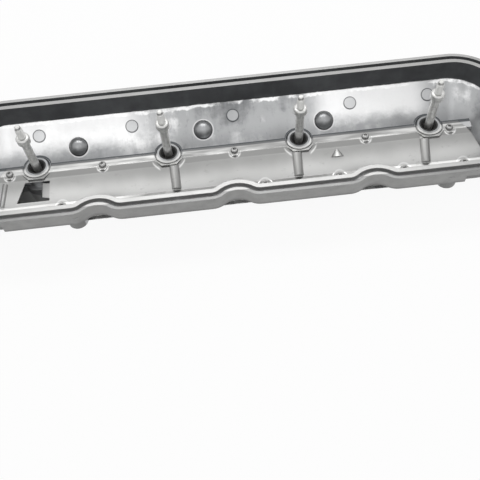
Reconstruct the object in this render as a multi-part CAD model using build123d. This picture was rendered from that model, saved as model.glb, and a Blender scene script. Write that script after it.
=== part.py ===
from build123d import *
import os
from math import atan, atan2, cos, degrees, radians, sin, tan

# Engine valve cover lying on its roof, open side up, with four captive bolts and an oil baffle.
# Frame: origin at the centre of the sealing rail, X along the cover, Y across it, +Z out of the
# open side. The rail face is z = 0, so the casting lies below it. Millimetres.

# ---- sealing rail and skirt ----
cover_length = 490.0
cover_width = 132.0
far_corner_r = 46.0
near_corner_r = 50.0
rail_width = 10.5
rail_depth = 20.0            # height of the inner upright wall under the rail face
skirt_depth = 13.5           # height of the outer skirt
wall = 3.5                   # casting wall
groove_inset = 3.0           # outer edge to gasket groove
groove_width = 3.6
groove_depth = 4.0
pocket_roof = 6.0            # metal left under the rail face above the cored pocket
skirt_gap_from_end = 33.0    # stretches of the near side with no outer skirt
skirt_gap_left = 21.5
skirt_gap_right = 29.5
scallop_half_width = 20.0
scallop_depth = 6.7
scallop_shift = -2.5         # scallops sit a little off the middle between two bolts

# ---- basin between the skirt and the roof ----
roof_z = -47.0               # outer face of the roof
roof_wall = 3.5
far_floor_y = 22.5           # foot of the sloping far wall
near_floor_y = -32.0         # foot of the sloping near wall
end_slope_run = 24.0         # how far the end walls lean in over their height
floor_corner_r = 10.0

# ---- bolt line and its ridge ----
bolt_pitch = 111.8
bolt_count = 4
bolt_y = -5.5
ledge_z = -11.0              # top of the ridge
ledge_far = 3.2              # bolt line to the far edge of the ledge
ledge_near = 6.1             # bolt line to the near edge of the cast ledge
ridge_draft = 8.0            # how much wider each ridge side is at the roof
ridge_half_length = 204.0
boss_rise = 4.0              # bolt boss above the ledge
boss_r = 11.5
boss_pad_r = 11.9            # wider foot of each boss, level with the ledge
boss_pad_shift = 1.5         # the pads stand a little to the far side
grommet_bore_r = 7.8
grommet_seat_z = -25.0
well_r = 12.25
well_wall = 3.2

# ---- oil baffle ----
sheet = 1.2
bend_r = 2.0
baffle_far_y = -4.3
baffle_step_y = -12.3        # ledge flange to the narrow sloping strip
baffle_bend_y = -17.3        # strip to web
baffle_foot_y = -34.5
baffle_near_y = -48.0
baffle_strip_drop = 2.0
baffle_drop = 15.0           # ledge level to foot flange level
baffle_ledge_half = 193.0    # half length along the ledge
baffle_foot_half = 222.0     # half length along the foot flange
baffle_edge_gap = 0.5
boss_hole_gap = 0.5
boss_flat = (14.3, 6.3, -18.7)    # half widths and near edge of the flat round a bolt boss
screw_flat = (6.2, 2.3, -16.4)    # the same round a ledge screw
bead_xs = (-51.8, 52.3, 161.2)
bead_r = 4.2
strap_x = (-193.4, -200.0)   # slanted bead near the left end, ledge to foot
strap_r = 2.4
window_top = (-177.4, -157.0)
window_foot = (-186.8, -159.5)
window_margin = 1.6          # sheet left between the window and each bend
louver_reach = 7.0
louver_angle = 20.0
louver_end_gap = 4.0
drain_x = 86.3
drain_r = 5.5                # mouth of the drain hood
drain_length = 6.7
drain_drop = 1.5             # bend to the hood's closed end

# ---- baffle screws ----
ledge_screw_xs = (-190.0, -111.8, 0.0, 111.8, 184.0)
ledge_screw_y = -11.2
foot_screw_xs = (-148.8, 23.0, 86.6, 141.7, 192.7)
foot_screw_y = -39.4
screw_r = 2.0
screw_length = 9.0
ledge_head_r = 3.1
foot_head_r = 4.2
screw_head_h = 2.2
screw_head_edge = 0.9        # chamfer round the top of each head
screw_hole_gap = 0.05
screw_boss_r = 3.3
screw_hole_extra = 1.5
foot_post_r = 5.0

# ---- captive bolts and grommets ----
bolt_shank_r = 3.5
bolt_thread_r = 3.0
bolt_point_r = 2.2
bolt_reach = 47.7            # boss face to the bolt's point
bolt_collar_at = 32.0        # boss face to the middle of the collar
bolt_collar_r = 5.6
bolt_collar_h = 7.0
bolt_collar_edge = 1.6
bolt_point_h = 3.0
bolt_flange_r = 8.5
bolt_flange_h = 2.0
bolt_hex_af = 10.0
bolt_hex_h = 6.0
grommet_gap = 0.05           # grommet to its bore
shank_gap = 0.05             # bolt shank to the grommet
grommet_top_drop = 2.5       # grommet below the boss face
grommet_mouth_r = 6.6
grommet_mouth_depth = 5.0
grommet_flange_r = 11.0
grommet_flange_h = 3.5

# ---- bracket bosses on the roof side ----
bracket_face_z = -49.5
bracket_boss_r = 8.5
bracket_hole_r = 2.5
bracket_hole_depth = 16.0
bracket_corner = (86.0, 34.2)
bracket_pitch = (225.9, 59.7)    # four of the bosses stand on a rectangle
middle_bracket = (-25.2, 36.8)
near_post_r = 6.0
near_post_top = -31.0
dome_r = 11.0
dome_sink = 4.5              # centre of each dome below the wall face
ejector_xs = (-174.2, -89.5, 3.1, 111.3, 183.3)
ejector_y = 45.0
ejector_r = 5.3
ejector_rise = 0.4

# ---- skirt lobes and breather tube ----
lobe_xs = (-133.0, 170.0)
lobe_r = 8.2
lobe_proud = 0.5
lobe_depth = 19.7
tube_r = 6.0                 # hose end
tube_pressed_r = 6.5         # end pressed into the casting
tube_bore_r = 5.0
tube_gap = 0.02
tube_y = -25.0
tube_z = -34.6
tube_boss_r = 9.0
tube_boss_back = 13.0        # end of the rail to the face of the tube boss
tube_boss_length = 33.0
tube_socket = 16.0
tube_stand = 20.0
tube_lead = 0.6              # chamfer at the hose end

half_length = cover_length / 2
half_width = cover_width / 2
floor_z = roof_z + roof_wall
boss_z = ledge_z + boss_rise
skirt_gap_x = half_length - skirt_gap_from_end
skirt_gaps = ((-skirt_gap_x, -skirt_gap_x + skirt_gap_left), (skirt_gap_x - skirt_gap_right, skirt_gap_x))
tube_boss_outer_x = half_length - tube_boss_back
tube_boss_inner_x = tube_boss_outer_x - tube_boss_length
bolt_xs = [bolt_pitch * (i - (bolt_count - 1) / 2) for i in range(bolt_count)]
scallop_xs = [(a + b) / 2 + scallop_shift for a, b in zip(bolt_xs, bolt_xs[1:])]
bracket_xs = [bracket_corner[0] - bracket_pitch[0], bracket_corner[0]]
far_bracket_spots = [(x, bracket_corner[1]) for x in bracket_xs] + [middle_bracket]
near_bracket_spots = [(x, bracket_corner[1] - bracket_pitch[1]) for x in bracket_xs]
through = 200.0              # longer than any section, for cuts that go right through


def rail_outline():
    # outer edge of the rail: rounded rectangle whose near side has a scallop between bolts
    theta = degrees(2 * atan(scallop_depth / scallop_half_width))
    arc_r = scallop_half_width / 2 / sin(radians(theta))
    with BuildLine() as line:
        spot = Vector(-half_length + near_corner_r, -half_width)
        for x in scallop_xs:
            run = Line(spot, (x - scallop_half_width, -half_width))
            rise = JernArc(run @ 1, (1, 0), arc_r, theta)
            crown = JernArc(rise @ 1, rise % 1, arc_r, -2 * theta)
            fall = JernArc(crown @ 1, crown % 1, arc_r, theta)
            spot = fall @ 1
        right = Line(spot, (half_length - near_corner_r, -half_width))
        a = JernArc(right @ 1, (1, 0), near_corner_r, 90)
        b = Line(a @ 1, (half_length, half_width - far_corner_r))
        c = JernArc(b @ 1, (0, 1), far_corner_r, 90)
        d = Line(c @ 1, (-half_length + far_corner_r, half_width))
        e = JernArc(d @ 1, (-1, 0), far_corner_r, 90)
        f = Line(e @ 1, (-half_length, -half_width + near_corner_r))
        JernArc(f @ 1, (0, -1), near_corner_r, 90)
    return make_face(line.wires()[0])


def inset_rail(amount):
    return offset(rail_outline(), -amount)


def slab(face, z_low, z_high):
    return extrude(Pos(0, 0, z_low) * face, z_high - z_low, dir=(0, 0, 1))


def basin_section(z, grow):
    # the basin's plan at height z, each side eased between the skirt and the floor
    share = (z + rail_depth) / (floor_z + rail_depth)
    x = half_length - rail_width - end_slope_run * share + grow
    top = half_width - rail_width
    far = top + (far_floor_y - top) * share + grow
    near = -top + (near_floor_y + top) * share - grow
    near_r = near_corner_r - rail_width
    far_r = far_corner_r - rail_width
    near_r = near_r + (floor_corner_r - near_r) * share + grow
    far_r = far_r + (floor_corner_r - far_r) * share + grow
    with BuildLine(Plane.XY.offset(z)) as line:
        a = Line((-x + near_r, near), (x - near_r, near))
        b = JernArc(a @ 1, (1, 0), near_r, 90)
        c = Line(b @ 1, (x, far - far_r))
        d = JernArc(c @ 1, (0, 1), far_r, 90)
        e = Line(d @ 1, (-x + far_r, far))
        f = JernArc(e @ 1, (-1, 0), far_r, 90)
        g = Line(f @ 1, (-x, near + near_r))
        JernArc(g @ 1, (0, -1), near_r, 90)
    return make_face(line.wires()[0])


def basin(grow, z_bottom):
    return loft([basin_section(z_bottom, grow), basin_section(-rail_depth, grow)], ruled=True)


def far_wall_frame(x, y):
    # plane on the inner face of the sloping far wall, z out of the metal
    top = half_width - rail_width
    fall = atan2(floor_z + rail_depth, far_floor_y - top)
    z = -rail_depth + (y - top) * tan(fall)
    return Plane(origin=(x, y, z), x_dir=(1, 0, 0), z_dir=(0, sin(fall), -cos(fall)))


def prism_x(points, half):
    # a section drawn in Y and Z, extruded along X both ways from the middle
    face = make_face(Polyline(*[(0, y, z) for y, z in points], close=True))
    return extrude(face, half, dir=(1, 0, 0), both=True)


def ridge(grow, top, half):
    # raised spine that carries the bolts, open underneath
    run = ledge_z - roof_z
    far = bolt_y + ledge_far + grow
    near = bolt_y - ledge_near - grow
    lean = ridge_draft * (top - roof_z) / run
    return prism_x([(far, top), (near, top), (near - lean, roof_z), (far + lean, roof_z)], half)


def post(x, y, r, z_low, z_high):
    return Pos(x, y, (z_low + z_high) / 2) * Cylinder(r, z_high - z_low)


def baffle_underside(far_y, near_y):
    # folded line of the baffle's lower face: ledge flange, strip, web, foot flange
    foot_z = ledge_z - baffle_drop
    return FilletPolyline(
        (0, far_y, ledge_z),
        (0, baffle_step_y, ledge_z),
        (0, baffle_bend_y, ledge_z - baffle_strip_drop),
        (0, baffle_foot_y, foot_z),
        (0, near_y, foot_z),
        radius=bend_r,
    )


def chamber_end(side):
    # cast rib that closes the oil chamber along the slanted end of the baffle
    run = baffle_foot_half - baffle_ledge_half
    fall = baffle_far_y - baffle_near_y
    lean = degrees(atan2(run, fall))
    mid_x = side * ((baffle_ledge_half + baffle_foot_half) / 2 - wall / 2)
    mid_y = (baffle_far_y + baffle_near_y) / 2
    plate = Pos(mid_x, mid_y, (roof_z + ledge_z) / 2) * Rot(0, 0, side * lean) * Box(
        wall, 2 * fall, ledge_z - roof_z)
    return plate & under_baffle()


def under_baffle():
    # space between the near side of the ridge, the baffle and the roof
    line = baffle_underside(bolt_y, -half_width)
    below = Polyline(line @ 1, (0, -half_width, roof_z), (0, bolt_y, roof_z), line @ 0)
    return extrude(make_face([line, below]), half_length, dir=(1, 0, 0), both=True)


def casting():
    ring = slab(rail_outline(), -skirt_depth, 0)
    pocket = inset_rail(wall) - inset_rail(rail_width - wall)
    for x in scallop_xs:
        pocket -= Pos(x, -half_width) * Rectangle(2 * scallop_half_width + rail_width, 4 * rail_width)
    ring -= slab(pocket, -skirt_depth, -pocket_roof)
    for start, end in skirt_gaps:
        bare = Pos((start + end) / 2, -half_width) * Rectangle(end - start, 2 * rail_width)
        ring -= slab(bare, -skirt_depth, -pocket_roof)
    ring += slab(inset_rail(rail_width - wall), -rail_depth, 0)
    for x in lobe_xs:
        ring += post(x, -half_width + lobe_r - lobe_proud, lobe_r, -lobe_depth, -pocket_roof)
    ring -= slab(inset_rail(rail_width), -rail_depth, 0)
    groove = inset_rail(groove_inset) - inset_rail(groove_inset + groove_width)
    ring -= slab(groove, -groove_depth, 0)

    hull = basin(wall, roof_z)
    cavity = basin(0, floor_z)
    inside = hull + slab(inset_rail(rail_width), -rail_depth, 0)
    body = hull
    for x, y in far_bracket_spots + near_bracket_spots:
        body += post(x, y, bracket_boss_r, bracket_face_z, -rail_depth - wall)
    body -= cavity
    body += ring
    body += ridge(0, ledge_z, ridge_half_length) & inside
    for x in bolt_xs:
        body += post(x, bolt_y, boss_r, grommet_seat_z, boss_z)
        body += post(x, bolt_y + boss_pad_shift, boss_pad_r, grommet_seat_z, ledge_z)
        body += post(x, bolt_y, well_r + well_wall, roof_z, grommet_seat_z + well_wall)
    for side in (-1, 1):
        body += chamber_end(side) & inside
    for x in foot_screw_xs:
        body += post(x, foot_screw_y, foot_post_r, roof_z, ledge_z - baffle_drop) & hull
    for x, y in near_bracket_spots:
        body += post(x, y, near_post_r, floor_z - 1, near_post_top)
    body += tube_boss()
    for x, y in far_bracket_spots:
        body += far_wall_frame(x, y) * Pos(0, 0, -dome_sink) * Sphere(dome_r) & cavity
    for x in ejector_xs:
        body += far_wall_frame(x, ejector_y) * Cylinder(ejector_r, 2 * ejector_rise)

    body -= ridge(-wall, ledge_z - wall, ridge_half_length - wall)
    for x in ledge_screw_xs:
        tip = ledge_z - screw_length - screw_hole_extra - wall
        body += post(x, ledge_screw_y, screw_boss_r, tip, ledge_z)
    for x in bolt_xs:
        body -= post(x, bolt_y, well_r, bracket_face_z, grommet_seat_z)
        body -= post(x, bolt_y, grommet_bore_r, grommet_seat_z, boss_z)
    for x, y, seat in screw_seats():
        deep = seat - screw_length - screw_hole_extra
        body -= post(x, y, screw_r + screw_hole_gap, deep, seat)
    for x, y in far_bracket_spots + near_bracket_spots:
        body -= post(x, y, bracket_hole_r, bracket_face_z, bracket_face_z + bracket_hole_depth)
    body -= along_x(tube_bore_r, tube_boss_inner_x - wall, tube_boss_outer_x)
    body -= along_x(tube_pressed_r + tube_gap, tube_boss_outer_x - tube_socket, tube_boss_outer_x)
    return body


def along_x(r, x_low, x_high):
    return Pos((x_low + x_high) / 2, tube_y, tube_z) * Rot(0, 90, 0) * Cylinder(r, x_high - x_low)


def tube_boss():
    return along_x(tube_boss_r, tube_boss_inner_x, tube_boss_outer_x)


def breather_tube():
    start = tube_boss_outer_x - tube_socket
    end = tube_boss_outer_x + tube_stand
    tube = along_x(tube_r, start, end)
    tube = chamfer(tube.edges().filter_by(GeomType.CIRCLE).sort_by(Axis.X)[-1], tube_lead)
    tube += along_x(tube_pressed_r, start, tube_boss_outer_x)
    return tube - along_x(tube_bore_r, start, end)


def screw_seats():
    # x, y and seat height of every hole under the baffle
    on_ledge = [(x, ledge_screw_y, ledge_z) for x in ledge_screw_xs]
    on_foot = [(x, foot_screw_y, ledge_z - baffle_drop) for x in foot_screw_xs]
    return on_ledge + on_foot


def web_rise():
    return baffle_drop - baffle_strip_drop


def baffle_web():
    # frame on the baffle's sloping web: x along the cover, y up the slope, z off the face
    run = baffle_bend_y - baffle_foot_y
    slope = atan2(web_rise(), run)
    lift = sheet / cos(slope)
    mid_y = (baffle_bend_y + baffle_foot_y) / 2
    mid_z = ledge_z - baffle_strip_drop - web_rise() / 2 + lift
    return Plane(origin=(0, mid_y, mid_z), x_dir=(1, 0, 0), z_dir=(0, -sin(slope), cos(slope)))


def web_length():
    run = baffle_bend_y - baffle_foot_y
    return (run ** 2 + web_rise() ** 2) ** 0.5


def baffle_sheet(thickness):
    # the folded section, extruded from the underside of the baffle upward
    line = baffle_underside(baffle_far_y, baffle_near_y)
    face = make_face(offset(line, thickness, side=Side.LEFT, closed=True).wires()[0])
    return extrude(face, half_length, dir=(1, 0, 0), both=True)


def baffle_plan():
    # slanted ends, wider at the foot, kept off the walls of the basin
    ends = Polyline(
        (-baffle_ledge_half, baffle_far_y),
        (-baffle_foot_half, baffle_near_y),
        (baffle_foot_half, baffle_near_y),
        (baffle_ledge_half, baffle_far_y),
        close=True,
    )
    return slab(make_face(ends), roof_z, 0)


def window():
    # opening in the web that lets the blow-by gas into the chamber
    half = web_length() / 2 - bend_r / 2 - window_margin
    corners = Polyline(
        (window_top[0], half),
        (window_top[1], half),
        (window_foot[1], -half),
        (window_foot[0], -half),
        close=True,
    )
    return baffle_web() * extrude(make_face(corners), 4 * sheet, both=True)


def louver():
    # flap lanced from the window and bent down into the chamber along its inner edge
    half = web_length() / 2 - bend_r / 2 - window_margin
    lean = degrees(atan2(window_top[1] - window_foot[1], 2 * half))
    mid = (window_top[1] + window_foot[1]) / 2
    flap = Pos(-louver_reach / 2, 0, -sheet / 2) * Box(louver_reach, 2 * half - louver_end_gap, sheet)
    hinge = Pos(mid, 0, 0) * Rot(0, 0, -lean) * Rot(0, -louver_angle, 0)
    return baffle_web() * hinge * flap


def bead(x, r):
    # half-round stiffening bead down the web
    return baffle_web() * Pos(x, 0, -sheet) * Rot(90, 0, 0) * Cylinder(r, web_length() - bend_r)


def strap(r):
    # slanted bead across the web near its left end
    top_x, foot_x = strap_x
    lean = degrees(atan2(top_x - foot_x, web_length()))
    line = Rot(0, 0, -lean) * Rot(90, 0, 0) * Cylinder(r, web_length() - bend_r)
    return baffle_web() * Pos((top_x + foot_x) / 2, 0, -sheet) * line


def drain_hood(mouth_r):
    # half cone with its mouth down the slope
    y = web_length() / 2 - drain_drop - drain_length / 2
    cone = Cone(mouth_r / drain_r, mouth_r, drain_length)
    return baffle_web() * Pos(drain_x, y, -sheet) * Rot(90, 0, 0) * cone


def flat_round(x, flat, inset):
    # ledge level carried out over the strip, round a boss or a screw
    step_half, edge_half, edge_y = flat
    corners = Polyline(
        (x - step_half + inset, baffle_step_y + bend_r),
        (x - edge_half + inset, edge_y + inset),
        (x + edge_half - inset, edge_y + inset),
        (x + step_half - inset, baffle_step_y + bend_r),
        close=True,
    )
    return slab(make_face(corners), roof_z, ledge_z + sheet - inset)


def baffle():
    floor_gap = basin(-baffle_edge_gap, floor_z)
    body = baffle_sheet(sheet)
    above = baffle_sheet(through)
    flats = [(x, boss_flat) for x in bolt_xs] + [(x, screw_flat) for x in ledge_screw_xs]
    for x in bead_xs:
        body += bead(x, bead_r) & above
    body += strap(strap_r) & above
    body += drain_hood(drain_r) & above
    for x, flat in flats:
        body += flat_round(x, flat, 0) & above
    for x in bead_xs:
        body -= bead(x, bead_r - sheet)
    body -= strap(strap_r - sheet)
    body -= drain_hood(drain_r - sheet)
    for x, flat in flats:
        body -= flat_round(x, flat, sheet)
    body = body - window() + louver()
    body = body & baffle_plan()
    body = body & (floor_gap + slab(Rectangle(cover_length, baffle_width()), -rail_depth, 0))
    for x in bolt_xs:
        body -= post(x, bolt_y, boss_r + boss_hole_gap, roof_z, 0)
    for x, y, seat in screw_seats():
        body -= post(x, y, screw_r + 2 * screw_hole_gap, seat - sheet, seat + 2 * sheet)
    return body


def baffle_width():
    return cover_width - 2 * rail_width - 2 * baffle_edge_gap


def captive_bolt(x):
    # head at the roof end, shank up through the grommet, collar, then the threaded point
    seat = grommet_seat_z - grommet_flange_h
    collar = boss_z + bolt_collar_at
    tip = boss_z + bolt_reach
    bolt = post(x, bolt_y, bolt_shank_r, seat - bolt_flange_h, collar)
    bolt += post(x, bolt_y, bolt_flange_r, seat - bolt_flange_h, seat)
    hexagon = RegularPolygon(bolt_hex_af / 2, 6, major_radius=False)
    bolt += slab(Pos(x, bolt_y) * hexagon, seat - bolt_flange_h - bolt_hex_h, seat - bolt_flange_h)
    ring = post(x, bolt_y, bolt_collar_r, collar - bolt_collar_h / 2, collar + bolt_collar_h / 2)
    bolt += chamfer(ring.edges().filter_by(GeomType.CIRCLE), bolt_collar_edge)
    bolt += post(x, bolt_y, bolt_thread_r, collar, tip - bolt_point_h)
    bolt += Pos(x, bolt_y, tip - bolt_point_h / 2) * Cone(bolt_thread_r, bolt_point_r, bolt_point_h)
    return bolt


def grommet(x):
    # rubber sleeve in the bolt boss, with the flange that the bolt head presses on
    top = boss_z - grommet_top_drop
    foot = grommet_seat_z - grommet_flange_h
    body = post(x, bolt_y, grommet_bore_r - grommet_gap, grommet_seat_z, top)
    body += post(x, bolt_y, grommet_flange_r, foot, grommet_seat_z)
    body -= post(x, bolt_y, bolt_shank_r + shank_gap, foot, top)
    mouth = Cone(bolt_shank_r + shank_gap, grommet_mouth_r, grommet_mouth_depth)
    return body - Pos(x, bolt_y, top - grommet_mouth_depth / 2) * mouth


def baffle_screw(x, y, seat):
    # low-headed screw through the sheet into the casting
    top = seat + sheet
    head_r = ledge_head_r if seat == ledge_z else foot_head_r
    head = post(x, y, head_r, top, top + screw_head_h)
    rim = head.edges().filter_by(GeomType.CIRCLE).sort_by(Axis.Z)[-1]
    return chamfer(rim, screw_head_edge) + post(x, y, screw_r, top - screw_length, top)


def write(name, body):
    body.label = name
    export_step(body, f"parts/{name}.step")


def main():
    os.makedirs("parts", exist_ok=True)
    write("cover_casting", casting())
    write("oil_baffle", baffle())
    for i, x in enumerate(bolt_xs):
        write(f"captive_bolt_{i + 1}", captive_bolt(x))
        write(f"bolt_grommet_{i + 1}", grommet(x))
    for i, (x, y, seat) in enumerate(screw_seats()):
        row = "ledge" if seat == ledge_z else "foot"
        number = i % len(ledge_screw_xs) + 1
        write(f"{row}_screw_{number}", baffle_screw(x, y, seat))
    write("breather_tube", breather_tube())


main()
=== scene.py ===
import bpy, bmesh
from math import ceil, cos, pi, radians, sin
from mathutils import Matrix, Vector


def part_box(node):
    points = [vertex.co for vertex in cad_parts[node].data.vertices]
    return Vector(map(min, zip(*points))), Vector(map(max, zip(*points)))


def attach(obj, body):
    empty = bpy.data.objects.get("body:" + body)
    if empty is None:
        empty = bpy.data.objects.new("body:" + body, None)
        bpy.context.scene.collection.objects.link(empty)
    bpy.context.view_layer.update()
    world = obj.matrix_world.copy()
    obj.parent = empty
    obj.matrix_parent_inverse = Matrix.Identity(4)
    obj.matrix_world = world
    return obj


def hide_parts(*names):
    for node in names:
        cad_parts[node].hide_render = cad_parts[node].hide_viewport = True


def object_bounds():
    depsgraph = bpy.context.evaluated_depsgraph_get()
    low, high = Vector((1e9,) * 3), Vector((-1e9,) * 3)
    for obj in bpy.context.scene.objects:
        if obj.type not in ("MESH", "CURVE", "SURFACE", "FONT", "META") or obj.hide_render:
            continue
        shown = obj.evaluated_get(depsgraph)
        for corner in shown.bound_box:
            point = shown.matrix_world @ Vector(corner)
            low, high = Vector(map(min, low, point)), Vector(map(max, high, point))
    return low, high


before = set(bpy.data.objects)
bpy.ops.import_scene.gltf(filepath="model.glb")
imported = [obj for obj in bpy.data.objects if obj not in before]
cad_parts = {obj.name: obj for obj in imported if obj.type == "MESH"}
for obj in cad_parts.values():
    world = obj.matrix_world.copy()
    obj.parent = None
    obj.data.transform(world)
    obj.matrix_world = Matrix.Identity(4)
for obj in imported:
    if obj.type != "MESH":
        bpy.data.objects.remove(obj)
sizeBefore = [list(corner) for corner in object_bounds()]
mm = 0.001

# row of captive bolts and the rings of their bosses, in mm
boltRow = {"pitch": 111.8, "count": 4, "y": -5.5, "ringR": 9.6}
boltXs = [boltRow["pitch"] * (k - (boltRow["count"] - 1) / 2) for k in range(boltRow["count"])]


# short ways to write shader nodes
def sock(node, name, value):
    node.inputs[name].default_value = value


def newMaterial(name):
    mat = bpy.data.materials.new(name)
    mat.use_nodes = True
    tree = mat.node_tree
    return mat, tree, tree.nodes["Principled BSDF"]


def addNode(tree, kind, **settings):
    node = tree.nodes.new(kind)
    for key, value in settings.items():
        setattr(node, key, value)
    return node


def plug(tree, value, socket):
    # a number, a colour or the output of another node
    if isinstance(value, (int, float)):
        socket.default_value = value
    elif isinstance(value, tuple):
        socket.default_value = (*value, 1)
    else:
        tree.links.new(value, socket)


def calc(tree, operation, a, b=None):
    node = addNode(tree, "ShaderNodeMath", operation=operation)
    plug(tree, a, node.inputs[0])
    if b is not None:
        plug(tree, b, node.inputs[1])
    return node.outputs[0]


def product(tree, *values):
    total = values[0]
    for value in values[1:]:
        total = calc(tree, "MULTIPLY", total, value)
    return total


def plus(tree, *values):
    total = values[0]
    for value in values[1:]:
        total = calc(tree, "ADD", total, value)
    return total


def minus(tree, a, b):
    return calc(tree, "SUBTRACT", a, b)


def away(tree, value):
    return minus(tree, 1.0, value)


def absolute(tree, value):
    return calc(tree, "ABSOLUTE", value)


def distance(tree, *spans):
    return calc(tree, "SQRT", plus(tree, *(product(tree, span, span) for span in spans)))


def step(tree, value, start, end):
    # 0 before start, 1 after end, smooth from one to the other
    node = addNode(tree, "ShaderNodeMapRange", interpolation_type="SMOOTHSTEP")
    tree.links.new(value, node.inputs["Value"])
    sock(node, "From Min", start)
    sock(node, "From Max", end)
    return node.outputs["Result"]


def between(tree, value, low, high, soft):
    # 1 from low to high, 0 outside them, with soft limits
    return product(tree, step(tree, value, low - soft, low + soft),
                   away(tree, step(tree, value, high - soft, high + soft)))


def mixColour(tree, factor, a, b):
    node = addNode(tree, "ShaderNodeMix", data_type="RGBA")
    for socket, value in zip((node.inputs[0], node.inputs[6], node.inputs[7]), (factor, a, b)):
        plug(tree, value, socket)
    return node.outputs[2]


def scaled(colour, share):
    return tuple(v * share for v in colour)


def mottled(tree, cloud, span, colour, share):
    # the colour, down to a share of itself where the cloud is thin
    return mixColour(tree, step(tree, cloud, *span), scaled(colour, share), colour)


def noise(tree, scale, stretch, detail, rough):
    # noise in object coordinates, stretched into streaks where one axis is small
    coord = addNode(tree, "ShaderNodeTexCoord")
    mapping = addNode(tree, "ShaderNodeMapping")
    tree.links.new(coord.outputs["Object"], mapping.inputs["Vector"])
    sock(mapping, "Scale", stretch)
    node = addNode(tree, "ShaderNodeTexNoise")
    tree.links.new(mapping.outputs["Vector"], node.inputs["Vector"])
    sock(node, "Scale", scale)
    sock(node, "Detail", detail)
    sock(node, "Roughness", rough)
    return node.outputs["Fac"]


def bump(tree, height, strength, depth, edge=None):
    node = addNode(tree, "ShaderNodeBump")
    tree.links.new(height, node.inputs["Height"])
    sock(node, "Strength", strength)
    sock(node, "Distance", depth)
    if edge:
        rounded = addNode(tree, "ShaderNodeBevel", samples=4)
        sock(rounded, "Radius", edge)
        tree.links.new(rounded.outputs["Normal"], node.inputs["Normal"])
    return node.outputs["Normal"]


def split(tree, output):
    coord = addNode(tree, "ShaderNodeTexCoord")
    parts = addNode(tree, "ShaderNodeSeparateXYZ")
    tree.links.new(coord.outputs[output], parts.inputs[0])
    return parts.outputs


def boltAside(tree, x):
    # distance along the cover from the nearest bolt
    halfPitch = boltRow["pitch"] / 2 * mm
    return calc(tree, "PINGPONG", plus(tree, x, halfPitch), halfPitch)


# cast aluminium: places are in metres, and a pair is where a change starts and ends
# each noise has its scale, stretch, detail and roughness
castNoise = {
    "broad": (13, (1, 1, 1), 3, 0.55),
    "blotch": (60, (1, 1, 1.6), 4, 0.62),
    "streak": (130, (1, 0.22, 0.22), 4, 0.62),
    "fine": (420, (1, 0.5, 0.5), 3, 0.6),
    "grain": (900, (1, 1, 1), 2, 0.5),
}
# how far a face looks up or down, and where the ends of the cover start
castFaces = {"up": (0.90, 0.95), "lying": (0.2, 0.4), "down": (1.3, 1.5), "ends": (0.185, 0.20)}


def castPlaces(tree):
    # places, directions and noises that the finish of the casting is mixed by
    x, y, z = split(tree, "Object")
    nx, ny, nz = split(tree, "Normal")
    at = {"x": x, "y": y, "z": z, "absX": absolute(tree, x), "absY": absolute(tree, y)}
    for name, settings in castNoise.items():
        at[name] = noise(tree, *settings)
    at["up"] = step(tree, nz, *castFaces["up"])
    at["upright"] = away(tree, step(tree, absolute(tree, nz), *castFaces["lying"]))
    at["down"] = step(tree, away(tree, nz), *castFaces["down"])
    atEnds = step(tree, at["absX"], *castFaces["ends"])
    at["outward"] = plus(tree, product(tree, nx, x, atEnds), product(tree, ny, y))
    at["aside"] = boltAside(tree, x)
    at["fore"] = minus(tree, y, boltRow["y"] * mm)
    at["fromBolt"] = distance(tree, at["aside"], at["fore"])
    return at


# inside of the basin, the painted highlight pools on its far wall and the painted light in the oil chamber
basin = {
    "bright": (0.90, 0.90, 0.90), "plain": (0.40, 0.405, 0.41), "dull": (0.17, 0.175, 0.18),
    "flow": {"broad": 0.58, "streak": 0.16, "blotch": 0.26},
    "plainFlow": (0.34, 0.50), "brightFlow": (0.52, 0.68), "speck": (0.58, 0.72), "speckShare": 0.30,
    "footZ": (-0.0435, -0.0320), "footShare": 0.55,
    "highlightPools": ((-0.170, 0.110), (0.130, 0.062)), "poolCore": 0.6, "poolY": (0.018, 0.022),
    "poolZ": (-0.0345, -0.0260), "poolRipple": 0.010, "poolHighlightShare": 0.7,
    "chamberY": (-0.046, -0.014), "chamberSoft": 0.001, "chamberTop": (-0.030, -0.028),
    "chamberFloor": (-0.0445, -0.0440), "chamberLightShare": 0.8,
}


def basinColour(tree, at):
    # bright metal that flowed in streaks, with dull blotches and specks
    b = basin
    at["flow"] = plus(tree, *(product(tree, at[name], share) for name, share in b["flow"].items()))
    colour = mixColour(tree, step(tree, at["flow"], *b["plainFlow"]), b["dull"], b["plain"])
    colour = mixColour(tree, step(tree, at["flow"], *b["brightFlow"]), colour, b["bright"])
    speck = product(tree, step(tree, at["fine"], *b["speck"]), b["speckShare"])
    colour = mixColour(tree, speck, colour, b["dull"])
    # painted shade: the foot of the walls and of the ridge is painted darker
    foot = product(tree, away(tree, step(tree, at["z"], *b["footZ"])), away(tree, at["up"]), b["footShare"])
    colour = mixColour(tree, foot, colour, b["dull"])
    # painted highlights: broad bright pools along the far wall
    high = step(tree, plus(tree, at["z"], product(tree, at["blotch"], b["poolRipple"])), *b["poolZ"])
    far = step(tree, at["y"], *b["poolY"])
    for middle, half in b["highlightPools"]:
        offMiddle = absolute(tree, minus(tree, at["x"], middle))
        near = away(tree, step(tree, offMiddle, half * b["poolCore"], half))
        colour = mixColour(tree, product(tree, near, high, far, b["poolHighlightShare"]), colour, b["bright"])
    # painted light: the inside of the oil chamber, seen through the window, is painted bright as if lit
    chamberLight = product(tree, between(tree, at["y"], *b["chamberY"], b["chamberSoft"]),
                      away(tree, step(tree, at["z"], *b["chamberTop"])),
                      step(tree, at["z"], *b["chamberFloor"]), b["chamberLightShare"])
    return mixColour(tree, chamberLight, colour, b["bright"])


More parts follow.
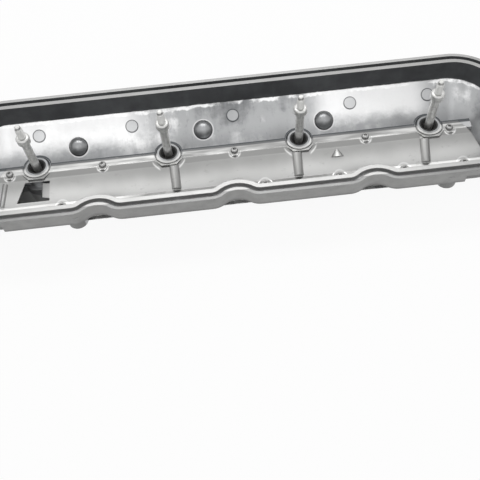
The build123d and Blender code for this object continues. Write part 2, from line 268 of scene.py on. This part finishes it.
# ledge that carries the bolts, and the bosses round their bores
ledge = {
    "z": -0.011, "half": 0.0005, "soft": 0.0002, "crease": (0.07, 0.075, 0.08), "creaseShadeY": (-0.0062, -0.0048),
    "bossLow": 0.0003, "bossHigh": 0.0045, "bossEndY": (0.030, 0.031), "bossEndX": (0.19, 0.20),
    "ring": (0.30, 0.305, 0.31), "ringThin": 0.7, "ringCloud": (0.35, 0.65), "ringSoft": 0.0004,
    "apron": (0.62, 0.62, 0.61), "apronEnd": (-0.003, 0.002),
    "bore": (0.006, 0.006, 0.006), "boreR": (0.0080, 0.0082), "boreTop": (0.0014, 0.0016),
}


def ledgeColour(tree, at, colour):
    e = ledge
    # painted shade: a dark crease along the far edge, where the ledge drops into shade
    top = product(tree, at["up"], between(tree, at["z"], e["z"] - e["half"], e["z"] + e["half"], e["soft"]))
    colour = mixColour(tree, product(tree, top, step(tree, at["y"], *e["creaseShadeY"])), colour, e["crease"])
    # boss: ring round the bore, painted shade of the crease behind it, smooth apron before it
    inRow = away(tree, step(tree, at["absX"], *e["bossEndX"]))
    boss = product(tree, between(tree, at["z"], e["z"] + e["bossLow"], e["z"] + e["bossHigh"], e["soft"]),
                   away(tree, step(tree, at["absY"], *e["bossEndY"])), inRow)
    ringTone = mottled(tree, at["blotch"], e["ringCloud"], e["ring"], e["ringThin"])
    behind = step(tree, at["fore"], *e["apronEnd"])
    ringR = boltRow["ringR"] * mm
    beyond = step(tree, at["fromBolt"], ringR - e["ringSoft"], ringR + e["ringSoft"])
    rimTone = mixColour(tree, behind, e["apron"], e["crease"])
    colour = mixColour(tree, boss, colour, mixColour(tree, beyond, ringTone, rimTone))
    at["apron"] = product(tree, boss, beyond, away(tree, behind))
    # painted shade: the bore is painted near black, as if deep in shade
    low, high = e["boreTop"]
    bore = product(tree, away(tree, step(tree, at["fromBolt"], *e["boreR"])),
                   away(tree, step(tree, at["z"], e["z"] + low, e["z"] + high)), inRow)
    return mixColour(tree, bore, colour, e["bore"])


# domes over the bracket bosses: middles of the balls, and how the wall leans
domes = {
    "balls": ((-0.1399, 0.0368, -0.0389), (-0.0252, 0.0394, -0.0370), (0.086, 0.0368, -0.0389)),
    "lean": (0.581, 0.814), "sink": 0.0045, "haloR": (0.0107, 0.0111), "haloHighlightShare": 0.6, "haloHighlightTone": 0.8,
    "colour": (0.36, 0.365, 0.37), "thin": 0.75, "cloud": (0.35, 0.65), "edge": (0.05, 0.052, 0.055),
    "foot": 0.0003, "edgeFrom": 0.0004, "edgeTo": 0.0020,
}


def domeColour(tree, at, colour):
    # dull dome painted darker as painted shade, a dark edge of painted shade at its foot, in a bright ring of
    # painted highlight
    d = domes
    dull = mottled(tree, at["blotch"], d["cloud"], d["colour"], d["thin"])
    for spot in d["balls"]:
        offX, offY, offZ = (minus(tree, at[axis], spot[k]) for k, axis in enumerate("xyz"))
        tall = minus(tree, product(tree, offZ, d["lean"][1]), product(tree, offY, d["lean"][0]))
        halo = away(tree, step(tree, distance(tree, offX, offY, offZ), *d["haloR"]))
        colour = mixColour(tree, product(tree, halo, d["haloHighlightShare"]), colour,
                           scaled(basin["bright"], d["haloHighlightTone"]))
        over = product(tree, halo, step(tree, tall, d["sink"], d["sink"] + d["foot"]))
        rise = step(tree, tall, d["sink"] + d["edgeFrom"], d["sink"] + d["edgeTo"])
        colour = mixColour(tree, over, colour, mixColour(tree, rise, d["edge"], dull))
    return colour


# marks of the ejector pins on the far wall
ejectors = {
    "xs": (-0.1742, -0.0895, 0.0031, 0.1113, 0.1833), "y": 0.045, "slope": 1.228, "low": (-0.035, -0.034),
    "r": 0.0053, "padSoft": 0.0007, "padShare": 0.75, "padTone": 1.15,
    "edgeIn": 0.0002, "edgeOut": 0.0007, "edgeSoft": 0.0003, "edgeShare": 0.8,
}


def ejectorColour(tree, at, colour):
    # round pads that the ejector pins left, each with a dark outline
    e = ejectors
    onWall = step(tree, at["z"], *e["low"])
    offY = minus(tree, product(tree, at["y"], e["slope"]), e["y"] * e["slope"])
    for ejectorX in e["xs"]:
        ring = distance(tree, minus(tree, at["x"], ejectorX), offY)
        pad = away(tree, step(tree, ring, e["r"] - e["padSoft"], e["r"]))
        colour = mixColour(tree, product(tree, pad, onWall, e["padShare"]), colour,
                           scaled(basin["plain"], e["padTone"]))
        edge = between(tree, ring, e["r"] - e["edgeIn"], e["r"] + e["edgeOut"], e["edgeSoft"])
        colour = mixColour(tree, product(tree, edge, onWall, e["edgeShare"]), colour, ledge["crease"])
    return colour


# sealing rail: its inner face and the two lands on top
rail = {
    "band": (0.085, 0.088, 0.092), "bandLight": (0.13, 0.135, 0.14), "bandFlow": (0.40, 0.62),
    "bandFoot": (-0.0202, -0.0192), "ragged": 0.004, "inside": (-0.002, 0.002),
    "rimY": (0.030, 0.031), "rimX": (0.205, 0.206),
    "flash": (-0.0217, -0.0198), "flashSoft": 0.0004, "flashCloud": (0.40, 0.60),
    "face": (-0.0008, -0.0004), "innerY": (0.0594, 0.0596), "innerX": (0.2384, 0.2386),
    "farSide": (-0.02, 0.02), "lip": (0.42, 0.42, 0.415), "nearLipShade": (0.205, 0.205, 0.203),
    "innerLip": (0.365, 0.365, 0.36),
}


def railColour(tree, at, colour):
    r = rail
    # smooth dark band on the inner face, a painted dark reflection, with a bright rough edge below
    rim = calc(tree, "MAXIMUM", step(tree, at["absY"], *r["rimY"]), step(tree, at["absX"], *r["rimX"]))
    ragged = plus(tree, at["z"], product(tree, minus(tree, at["streak"], 0.5), r["ragged"]))
    flash = product(tree, rim, between(tree, ragged, *r["flash"], r["flashSoft"]),
                    step(tree, at["blotch"], *r["flashCloud"]))
    colour = mixColour(tree, flash, colour, basin["bright"])
    at["band"] = product(tree, at["upright"], away(tree, step(tree, at["outward"], *r["inside"])), rim,
                         step(tree, ragged, *r["bandFoot"]))
    bandTone = mixColour(tree, step(tree, at["flow"], *r["bandFlow"]), r["band"], r["bandLight"])
    colour = mixColour(tree, at["band"], colour, bandTone)
    # sealing face: outer land, then inner land; the near outer land is painted darker as painted shade
    onFace = product(tree, at["up"], step(tree, at["z"], *r["face"]))
    outer = calc(tree, "MAXIMUM", step(tree, at["absY"], *r["innerY"]), step(tree, at["absX"], *r["innerX"]))
    outerTone = mixColour(tree, step(tree, at["y"], *r["farSide"]), r["nearLipShade"], r["lip"])
    return mixColour(tree, onFace, colour, mixColour(tree, outer, r["innerLip"], outerTone))


# outside of the cover, and the painted shade in its corners
skirt = {
    "colour": (0.37, 0.37, 0.365), "thin": 0.82, "cloud": (0.32, 0.68), "outward": (0.036, 0.042),
    "foot": (0.165, 0.165, 0.163), "footZ": (-0.0136, -0.0100), "footShare": 0.6,
    "creviceShade": (0.50, 0.50, 0.50), "shadeReach": 0.005, "shadeSpan": (0.15, 0.60), "shadeShare": 0.5,
    "shadeZ": (-0.030, -0.028),
}


def outsideColour(tree, at, colour):
    s = skirt
    # even, dull and sandy, darker along the foot of the skirt
    outerWall = product(tree, at["upright"], step(tree, at["outward"], *s["outward"]))
    at["outside"] = calc(tree, "MAXIMUM", outerWall, at["down"])
    sandy = mottled(tree, at["blotch"], s["cloud"], s["colour"], s["thin"])
    foot = product(tree, away(tree, step(tree, at["z"], *s["footZ"])), s["footShare"])
    colour = mixColour(tree, at["outside"], colour, mixColour(tree, foot, sandy, s["foot"]))
    # painted shade: the groove and the corners are painted darker where they close in
    nook = addNode(tree, "ShaderNodeAmbientOcclusion", samples=6)
    sock(nook, "Distance", s["shadeReach"])
    crevicesShaded = product(tree, away(tree, step(tree, nook.outputs["AO"], *s["shadeSpan"])),
                     away(tree, at["band"]), step(tree, at["z"], *s["shadeZ"]), s["shadeShare"])
    return mixColour(tree, crevicesShaded, colour, s["creviceShade"])


# shine and grain of the casting
castSheen = {"metallic": 0.80, "quietMetallic": 0.45, "rough": 0.24, "roughCloud": 0.22, "quietRough": 0.14,
             "streakHeight": 2.2, "bump": 0.35, "grainDepth": 0.00012, "edgeRadius": 0.0007}


def castMaterial():
    c = castSheen
    mat, tree, shader = newMaterial("castAluminium")
    at = castPlaces(tree)
    colour = basinColour(tree, at)
    for paint in (ledgeColour, domeColour, ejectorColour, railColour, outsideColour):
        colour = paint(tree, at, colour)
    tree.links.new(colour, shader.inputs["Base Color"])
    # the band, the outside and the aprons shine less
    quiet = calc(tree, "MAXIMUM", calc(tree, "MAXIMUM", at["band"], at["outside"]), at["apron"])
    metallic = minus(tree, c["metallic"], product(tree, quiet, c["quietMetallic"]))
    tree.links.new(metallic, shader.inputs["Metallic"])
    rough = plus(tree, product(tree, at["blotch"], c["roughCloud"]), c["rough"],
                 product(tree, quiet, c["quietRough"]))
    tree.links.new(rough, shader.inputs["Roughness"])
    height = plus(tree, at["grain"], product(tree, at["streak"], c["streakHeight"]))
    normal = bump(tree, height, c["bump"], c["grainDepth"], c["edgeRadius"])
    tree.links.new(normal, shader.inputs["Normal"])
    return mat


# painted highlights: bright arcs painted where pressed edges would catch the light, before the bolts and
# ledge screws, behind the foot screws
# from and to are distances aside from the middle, and side is -1 before it and 1 behind it
arcHighlights = {
    "tone": (0.95, 0.95, 0.94), "endSoft": 0.001,
    "bolt": {"r": 0.0163, "half": 0.0005, "soft": 0.0007, "from": 0.0080, "to": 0.0135, "side": -1,
             "share": 0.7},
    "ledge": {"r": 0.0056, "half": 0.0007, "soft": 0.0006, "from": 0.0014, "to": 0.0048, "side": -1,
              "share": 0.75},
    "foot": {"r": 0.0064, "half": 0.0005, "soft": 0.0005, "from": -0.001, "to": 0.0062, "side": 1,
             "share": 0.7},
}


def arcHighlight(tree, aside, fore, arc):
    endSoft = arcHighlights["endSoft"]
    onSide = product(tree, fore, arc["side"])
    radius = distance(tree, aside, onSide)
    return product(tree, between(tree, radius, arc["r"] - arc["half"], arc["r"] + arc["half"], arc["soft"]),
                   between(tree, aside, arc["from"], arc["to"], endSoft),
                   step(tree, onSide, 0.0, endSoft), arc["share"])


def boltHighlightArcs(tree, x, y):
    # only the two middle bolts have them
    pitch = boltRow["pitch"] * mm
    highlightArcs = arcHighlight(tree, boltAside(tree, x), minus(tree, y, boltRow["y"] * mm), arcHighlights["bolt"])
    return product(tree, highlightArcs, between(tree, x, -pitch, pitch, arcHighlights["endSoft"]))


def screwHighlightArcs(tree, x, y):
    # one arc for each small screw, from the place of its node
    total = 0.0
    for name in sorted(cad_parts):
        if "_screw_" in name:
            low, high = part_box(name)
            aside = absolute(tree, minus(tree, x, (low[0] + high[0]) / 2))
            fore = minus(tree, y, (low[1] + high[1]) / 2)
            total = calc(tree, "MAXIMUM", arcHighlight(tree, aside, fore, arcHighlights[name.split("_")[0]]), total)
    return total


# pressed sheet of the oil baffle, from its ledge down the web to the foot flange
sheet = {
    "lines": (70, (0.12, 1, 1), 4, 0.6), "soft": (22, (1, 1, 1), 3, 0.5), "marks": (260, (0.5, 1, 1), 3, 0.6),
    "colour": (0.33, 0.33, 0.325), "bright": (0.66, 0.66, 0.65), "topY": -0.0173, "footY": -0.0345,
    "footLightShare": 0.7, "softShare": 0.6, "webSpan": (0.2, 1.0),
    "ledgeY": (-0.0135, -0.0125), "ledgeLines": (0.38, 0.62), "ledgeDark": 0.65,
    "strip": (0.27, 0.27, 0.265), "stripTop": -0.0128, "stripSoft": 0.0003, "stripShare": 0.8,
    "beads": (-0.0518, 0.0523, 0.1612), "bead": (0.50, 0.50, 0.49), "beadHalf": 0.0036, "beadSoft": 0.0004,
    "beadShade": 0.75, "beadTurn": 0.001, "beadOver": 0.001, "beadEnd": 0.0005,
    "edge": (0.07, 0.072, 0.075), "edgeShadeY": (-0.0072, -0.0060), "edgeShare": 0.85,
    "footShade": (0.16, 0.16, 0.157), "footShadeX": 0.015, "footShadeHalf": 0.125, "footShadeCore": 0.8, "footShadeSoft": 0.0006,
    "footShadeCloud": (0.42, 0.58), "footShadeLight": 2.0, "markSpan": (0.60, 0.75), "markShare": 0.35,
    "metallic": 0.75, "rough": 0.28, "roughLines": 0.16, "bump": 0.2, "depth": 0.00006, "edgeRadius": 0.0008,
}


def webColour(tree, y, lines, soft):
    # the web is painted lighter towards its foot as a painted light gradient, the ledge is streaky and the
    # strip under it darker
    s = sheet
    down = away(tree, step(tree, y, s["footY"], s["topY"]))
    wavy = plus(tree, product(tree, down, s["footLightShare"]), product(tree, soft, s["softShare"]))
    colour = mixColour(tree, step(tree, wavy, *s["webSpan"]), s["colour"], s["bright"])
    streaky = mixColour(tree, step(tree, lines, *s["ledgeLines"]), scaled(s["colour"], s["ledgeDark"]),
                        s["bright"])
    colour = mixColour(tree, step(tree, y, *s["ledgeY"]), colour, streaky)
    strip = product(tree, between(tree, y, s["topY"], s["stripTop"], s["stripSoft"]), s["stripShare"])
    return mixColour(tree, strip, colour, s["strip"])


def beadColour(tree, x, y, colour):
    # dull beads down the web, with painted shade darkening one flank
    s = sheet
    along = between(tree, y, s["footY"] - s["beadOver"], s["topY"] + s["beadOver"], s["beadEnd"])
    for beadX in s["beads"]:
        across = between(tree, x, beadX - s["beadHalf"], beadX + s["beadHalf"], s["beadSoft"])
        shadedFlank = mixColour(tree, step(tree, x, beadX - s["beadTurn"], beadX + s["beadTurn"]), s["bead"],
                          scaled(s["bead"], s["beadShade"]))
        colour = mixColour(tree, product(tree, across, along), colour, shadedFlank)
    return colour


def sheetMaterial():
    s = sheet
    mat, tree, shader = newMaterial("pressedSheet")
    x, y, _ = split(tree, "Object")
    lines, soft, marks = (noise(tree, *s[name]) for name in ("lines", "soft", "marks"))
    colour = beadColour(tree, x, y, webColour(tree, y, lines, soft))
    # painted shade: the far edge is painted dark where the ledge drops into shade
    colour = mixColour(tree, product(tree, step(tree, y, *s["edgeShadeY"]), s["edgeShare"]), colour, s["edge"])
    # painted shade: the foot flange is painted darker over its middle, so only its ends stay bright as if lit
    offMiddle = absolute(tree, minus(tree, x, s["footShadeX"]))
    footShade = product(tree, away(tree, step(tree, y, s["footY"] - s["footShadeSoft"], s["footY"])),
                    away(tree, step(tree, offMiddle, s["footShadeHalf"] * s["footShadeCore"], s["footShadeHalf"])))
    footShadeTone = mixColour(tree, step(tree, soft, *s["footShadeCloud"]), s["footShade"],
                          scaled(s["footShade"], s["footShadeLight"]))
    colour = mixColour(tree, footShade, colour, footShadeTone)
    mark = product(tree, step(tree, marks, *s["markSpan"]), s["markShare"])
    colour = mixColour(tree, mark, colour, s["strip"])
    highlightArcs = calc(tree, "MAXIMUM", boltHighlightArcs(tree, x, y), screwHighlightArcs(tree, x, y))
    tree.links.new(mixColour(tree, highlightArcs, colour, arcHighlights["tone"]), shader.inputs["Base Color"])
    sock(shader, "Metallic", s["metallic"])
    tree.links.new(plus(tree, product(tree, lines, s["roughLines"]), s["rough"]), shader.inputs["Roughness"])
    tree.links.new(bump(tree, lines, s["bump"], s["depth"], s["edgeRadius"]), shader.inputs["Normal"])
    return mat


# plated steel: colours of the bolts, the small screws and the tube
plated = {
    "mottle": (300, (1, 1, 1), 3, 0.6), "fine": (1500, (1, 1, 1), 2, 0.5), "cloud": (0.3, 0.7), "thin": 0.7,
    "roughCloud": 0.2, "bump": 0.2, "depth": 0.00003, "edgeRadius": 0.0003,
    "bolt": {"colour": (0.97, 0.97, 0.95), "rough": 0.26, "metallic": 0.92,
             "thread": (0.0265, 0.0285), "threadTone": 0.58},
    "screw": {"colour": (0.36, 0.36, 0.355), "rough": 0.26, "metallic": 0.85},
    "tube": {"colour": (0.56, 0.56, 0.54), "rough": 0.24, "metallic": 0.85},
}


def platedMaterial(name, look):
    p = plated
    mat, tree, shader = newMaterial(name)
    mottle = noise(tree, *p["mottle"])
    fine = noise(tree, *p["fine"])
    tone = mottled(tree, mottle, p["cloud"], look["colour"], p["thin"])
    if "thread" in look:
        # the threaded end is duller than the shank
        z = split(tree, "Object")[2]
        dull = scaled(look["colour"], look["threadTone"])
        tone = mixColour(tree, step(tree, z, *look["thread"]), tone, dull)
    tree.links.new(tone, shader.inputs["Base Color"])
    sock(shader, "Metallic", look["metallic"])
    rough = plus(tree, product(tree, mottle, p["roughCloud"]), look["rough"])
    tree.links.new(rough, shader.inputs["Roughness"])
    tree.links.new(bump(tree, fine, p["bump"], p["depth"], p["edgeRadius"]), shader.inputs["Normal"])
    return mat


# rubber of the grommets, black and a little dusty
rubber = {"black": (0.008, 0.008, 0.008), "dusty": (0.022, 0.022, 0.021), "dust": (150, (1, 1, 1), 3, 0.6),
          "dustSpan": (0.4, 0.8), "fine": (1200, (1, 1, 1), 2, 0.5), "rough": 0.62, "bump": 0.3,
          "depth": 0.00004}


def rubberMaterial():
    r = rubber
    mat, tree, shader = newMaterial("blackRubber")
    tone = mixColour(tree, step(tree, noise(tree, *r["dust"]), *r["dustSpan"]), r["black"], r["dusty"])
    tree.links.new(tone, shader.inputs["Base Color"])
    sock(shader, "Roughness", r["rough"])
    tree.links.new(bump(tree, noise(tree, *r["fine"]), r["bump"], r["depth"]), shader.inputs["Normal"])
    return mat


castFinish = castMaterial()
sheetFinish = sheetMaterial()
boltFinish = platedMaterial("platedBolt", plated["bolt"])
screwFinish = platedMaterial("screwSteel", plated["screw"])
tubeFinish = platedMaterial("platedTube", plated["tube"])
rubberFinish = rubberMaterial()

# finish by the first word of a node's name
finishes = {"cover": castFinish, "oil": sheetFinish, "captive": boltFinish, "bolt": rubberFinish,
            "ledge": screwFinish, "foot": screwFinish, "breather": tubeFinish}
for name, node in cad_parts.items():
    node.data.materials.clear()
    node.data.materials.append(finishes[name.split("_")[0]])
print("materials ready")


# trim of the casting in mm: lower rings on the bosses and smaller domes than in the solid
# near is how close a corner lies to what it belongs to, and least the smallest move that counts
trim = {"bossTop": -7.0, "bossR": 11.5, "ringTop": -9.3, "frontRun": 5.75, "domeR": 11.0,
        "domeShare": 0.87, "near": 0.15, "least": 0.0001, "sharp": 32}


def lowerRing(corner):
    # the top of a bolt boss comes down, and its outer edge comes in on the far side
    t = trim
    for boltX in boltXs:
        aside, fore = corner.x - boltX, corner.y - boltRow["y"]
        radius = (aside * aside + fore * fore) ** 0.5
        if radius < t["bossR"] + t["near"] and abs(corner.z - t["bossTop"]) < t["near"]:
            frontness = min(1, max(0, -fore / t["frontRun"]))
            outer = boltRow["ringR"] + (t["bossR"] - boltRow["ringR"]) * frontness
            share = min(1, outer / radius)
            return Vector((boltX + aside * share, boltRow["y"] + fore * share, t["ringTop"]))
    return corner


def smallerDome(corner):
    # what lies on a dome's ball draws in towards the middle of its foot
    t = trim
    lean = Vector((0, -domes["lean"][0], domes["lean"][1]))
    for spot in domes["balls"]:
        ball = Vector(spot) / mm
        foot = ball + lean * domes["sink"] / mm
        offBall = abs((corner - ball).length - t["domeR"])
        if offBall < t["near"] and (corner - foot).dot(lean) > -2 * t["near"]:
            return foot + (corner - foot) * t["domeShare"]
    return corner


def castCover():
    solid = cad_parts["cover_casting"]
    mesh = bpy.data.meshes.new("castCover")
    bm = bmesh.new()
    bm.from_mesh(solid.data)
    bm.transform(solid.matrix_world)
    moved = 0
    for vert in bm.verts:
        corner = vert.co / mm
        place = smallerDome(lowerRing(corner))
        if (place - corner).length > trim["least"]:
            vert.co = place * mm
            moved += 1
    bm.to_mesh(mesh)
    bm.free()
    piece = bpy.data.objects.new("castCover", mesh)
    bpy.context.scene.collection.objects.link(piece)
    mesh.shade_smooth()
    mesh.set_sharp_from_angle(angle=radians(trim["sharp"]))
    mesh.materials.clear()
    mesh.materials.append(castFinish)
    print("cast cover ready,", moved, "corners drawn in")
    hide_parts("cover_casting")
    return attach(piece, "cover")


castCover()


# pieces turned on a lathe, in mm
def roundShape(radius):
    return lambda angle: radius


def hexShape(flats):
    # a hexagon with that distance across its flats
    sector = pi / 3
    return lambda angle: flats / 2 / cos((angle % sector) - sector / 2)


def turned(name, rings, centre, segments, sharp=38):
    # skin over rings, each a shape and its height: a shape gives the radius at an angle
    bm = bmesh.new()
    loops = []
    for shape, height in rings:
        loop = []
        for k in range(segments):
            angle = 2 * pi * k / segments
            r = shape(angle)
            loop.append(bm.verts.new((r * cos(angle), r * sin(angle), height)))
        loops.append(loop)
    for lower, upper in zip(loops, loops[1:]):
        for k in range(segments):
            after = (k + 1) % segments
            bm.faces.new((lower[k], lower[after], upper[after], upper[k]))
    bm.faces.new(list(reversed(loops[0])))
    bm.faces.new(loops[-1])
    bmesh.ops.recalc_face_normals(bm, faces=bm.faces)
    mesh = bpy.data.meshes.new(name)
    bm.to_mesh(mesh)
    bm.free()
    mesh.transform(Matrix.Translation(Vector(centre)) @ Matrix.Scale(mm, 4))
    piece = bpy.data.objects.new(name, mesh)
    bpy.context.scene.collection.objects.link(piece)
    mesh.shade_smooth()
    mesh.set_sharp_from_angle(angle=radians(sharp))
    return piece


# captive bolt: hexagon head and flange below, collar, thread and point on top
boltLook = {
    "headBottom": -36.5, "headChamfer": 0.6, "chamferShare": 0.93, "flats": 10.0,
    "flangeBottom": -30.5, "flangeTop": -28.5, "flangeR": 8.5, "flangeEdge": 0.8, "flangeRise": 0.7,
    "shankR": 3.5, "collarBottom": 21.5, "collarTop": 28.5, "collarR": 5.6, "collarEdge": 1.6, "edgeSteps": 6,
    "threadR": 3.0, "threadDepth": 0.6, "pitch": 1.0, "threadTop": 37.7, "ringsPerTurn": 8,
    "pointR": 2.2, "pointFrom": 0.3, "pointTo": 1.0, "tip": 40.69, "tipChamfer": 0.6, "tipShare": 0.7,
    "segments": 48,
}


def threadShape(height):
    # outline of the thread at one height: a groove that climbs one pitch in a turn
    b = boltLook

    def shape(angle):
        turn = (height / b["pitch"] - angle / (2 * pi)) % 1.0
        ramp = min(1.0, (height - b["collarTop"]) / b["pitch"])
        return b["threadR"] - b["threadDepth"] * ramp * (0.5 + 0.5 * cos(2 * pi * turn))
    return shape


def boltRings():
    b = boltLook
    rings = [(hexShape(b["flats"] * b["chamferShare"]), b["headBottom"]),
             (hexShape(b["flats"]), b["headBottom"] + b["headChamfer"]),
             (hexShape(b["flats"]), b["flangeBottom"]),
             (roundShape(b["flangeR"] - b["flangeEdge"]), b["flangeBottom"]),
             (roundShape(b["flangeR"]), b["flangeBottom"] + b["flangeRise"]),
             (roundShape(b["flangeR"]), b["flangeTop"]),
             (roundShape(b["shankR"]), b["flangeTop"]),
             (roundShape(b["shankR"]), b["collarBottom"])]
    # collar with rounded edges
    turns = [pi / 2 * k / b["edgeSteps"] for k in range(b["edgeSteps"] + 1)]
    edge = b["collarEdge"]
    for turn in turns:
        rings.append((roundShape(b["collarR"] - edge * (1 - sin(turn))),
                      b["collarBottom"] + edge * (1 - cos(turn))))
    for turn in turns:
        rings.append((roundShape(b["collarR"] - edge * (1 - cos(turn))),
                      b["collarTop"] - edge * (1 - sin(turn))))
    # thread and point
    rings.append((roundShape(b["threadR"]), b["collarTop"]))
    length = b["threadTop"] - b["collarTop"]
    count = ceil(length / b["pitch"] * b["ringsPerTurn"])
    for k in range(1, count + 1):
        height = b["collarTop"] + length * k / count
        rings.append((threadShape(height), height))
    rings.append((roundShape(b["threadR"] - b["threadDepth"]), b["threadTop"] + b["pointFrom"]))
    rings.append((roundShape(b["pointR"]), b["threadTop"] + b["pointTo"]))
    rings.append((roundShape(b["pointR"]), b["tip"] - b["tipChamfer"]))
    rings.append((roundShape(b["pointR"] * b["tipShare"]), b["tip"]))
    return rings


def captiveBolt(index):
    centre = (boltXs[index] * mm, boltRow["y"] * mm, 0)
    piece = turned(f"captiveBolt{index + 1}", boltRings(), centre, boltLook["segments"])
    piece.data.materials.append(boltFinish)
    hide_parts(f"captive_bolt_{index + 1}")
    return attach(piece, f"bolt_{index + 1}")


# small screw: what its node doesn't give
screwLook = {"rise": 2.2, "shankR": 2.0, "brim": 0.5, "domeSteps": 8, "rimShare": 1.2, "socketDepth": 1.3,
             "socketShare": 0.85, "segments": 36}


def domeScrew(node):
    # domed head with a hexagon socket, on the shank of the node that it stands for
    s = screwLook
    low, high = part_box(node)
    centre = ((low[0] + high[0]) / 2, (low[1] + high[1]) / 2, 0)
    headR = (high[0] - low[0]) / 2 / mm
    top = high[2] / mm
    seat = top - s["rise"]
    socket = headR * s["socketShare"]
    inner = socket / 2 * s["rimShare"]
    rings = [(roundShape(s["shankR"]), low[2] / mm),
             (roundShape(s["shankR"]), seat),
             (roundShape(headR), seat)]
    for k in range(s["domeSteps"] + 1):
        turn = pi / 2 * k / s["domeSteps"]
        rings.append((roundShape(inner + (headR - inner) * cos(turn)),
                      seat + s["brim"] + (s["rise"] - s["brim"]) * sin(turn)))
    rings.append((hexShape(socket), top))
    rings.append((hexShape(socket), top - s["socketDepth"]))
    row, _, number = node.split("_")
    piece = turned(f"{row}Screw{number}", rings, centre, s["segments"])
    piece.data.materials.append(screwFinish)
    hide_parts(node)
    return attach(piece, "cover")


for index in range(boltRow["count"]):
    captiveBolt(index)
for name in sorted(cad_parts):
    if "_screw_" in name:
        domeScrew(name)
print("bolts and screws ready")


# pale floor and white room
stageLook = {"floorTone": (0.93, 0.93, 0.93), "floorRough": 0.9, "floorShine": 0.1, "floorSize": 6.0,
             "ownWhite": 0.93, "worldTone": (0.80, 0.80, 0.80), "worldStrength": 0.62}


def seenBy(tree):
    # 1 for the rays that should find plain white: camera, reflection and transmission
    path = addNode(tree, "ShaderNodeLightPath")
    either = calc(tree, "MAXIMUM", path.outputs["Is Camera Ray"], path.outputs["Is Glossy Ray"])
    return calc(tree, "MAXIMUM", either, path.outputs["Is Transmission Ray"])


def blendShaders(tree, factor, first, second, surface):
    node = addNode(tree, "ShaderNodeMixShader")
    tree.links.new(factor, node.inputs[0])
    tree.links.new(first, node.inputs[1])
    tree.links.new(second, node.inputs[2])
    tree.links.new(node.outputs[0], surface)


def layFloor():
    s = stageLook
    lowest = sizeBefore[0][2]
    bpy.ops.mesh.primitive_plane_add(size=s["floorSize"], location=(0, 0, lowest))
    floor = bpy.context.object
    floor.name = "floor"
    mat, tree, shader = newMaterial("paleFloor")
    sock(shader, "Base Color", (*s["floorTone"], 1))
    sock(shader, "Roughness", s["floorRough"])
    sock(shader, "Specular IOR Level", s["floorShine"])
    # most of the floor's white is its own, to the camera and in reflections, so the shadow stays faint
    white = addNode(tree, "ShaderNodeEmission")
    sock(white, "Color", (1, 1, 1, 1))
    sock(white, "Strength", 1.0)
    blendShaders(tree, product(tree, seenBy(tree), s["ownWhite"]), shader.outputs[0], white.outputs[0],
                 tree.nodes["Material Output"].inputs["Surface"])
    floor.data.materials.append(mat)


def whiteRoom():
    world = bpy.context.scene.world or bpy.data.worlds.new("studio")
    bpy.context.scene.world = world
    world.use_nodes = True
    tree = world.node_tree
    ambient = tree.nodes["Background"]
    sock(ambient, "Color", (*stageLook["worldTone"], 1))
    sock(ambient, "Strength", stageLook["worldStrength"])
    backdrop = addNode(tree, "ShaderNodeBackground")
    sock(backdrop, "Color", (1, 1, 1, 1))
    sock(backdrop, "Strength", 1.0)
    blendShaders(tree, seenBy(tree), ambient.outputs[0], backdrop.outputs[0],
                 tree.nodes["World Output"].inputs["Surface"])


# rectangular lamps, each aimed at a point on the cover
lamps = {
    "overhead": {"at": (0.0, 0.45, 0.95), "aim": (0, 0, 0), "size": (1.0, 0.3), "watts": 4.5},
    "frontLeft": {"at": (-0.36, -0.45, 0.85), "aim": (-0.1, 0.03, 0), "size": (0.42, 0.24), "watts": 0.5},
    "frontRight": {"at": (0.24, -0.45, 0.85), "aim": (0.1, 0.03, 0), "size": (0.26, 0.24), "watts": 0.35},
}


def hangLamp(name, lamp):
    data = bpy.data.lights.new(name, "AREA")
    data.shape = "RECTANGLE"
    data.size, data.size_y = lamp["size"]
    data.energy = lamp["watts"]
    light = bpy.data.objects.new(name, data)
    light.location = lamp["at"]
    aim = Vector(lamp["aim"]) - Vector(lamp["at"])
    light.rotation_euler = aim.to_track_quat("-Z", "Y").to_euler()
    bpy.context.scene.collection.objects.link(light)


# camera: its place, and which way its right and its top point
view = {"lens": 48.14, "sensor": 36, "nearest": 0.01, "at": (-0.01293, -0.36155, 0.41207),
        "right": (0.9938, -0.1024, -0.0432), "up": (0.1098, 0.8439, 0.5251)}


def placeCamera():
    data = bpy.data.cameras.new("camera")
    data.lens = view["lens"]
    data.sensor_width = view["sensor"]
    data.clip_start = view["nearest"]
    camera = bpy.data.objects.new("camera", data)
    right = Vector(view["right"]).normalized()
    up = Vector(view["up"])
    up = (up - right * up.dot(right)).normalized()
    turn = Matrix((right, up, right.cross(up))).transposed().to_4x4()
    camera.matrix_world = Matrix.Translation(view["at"]) @ turn
    bpy.context.scene.collection.objects.link(camera)
    bpy.context.scene.camera = camera


layFloor()
whiteRoom()
for name, lamp in lamps.items():
    hangLamp(name, lamp)
placeCamera()
bpy.context.scene.view_settings.view_transform = "Standard"
print("stage, lamps and camera ready")
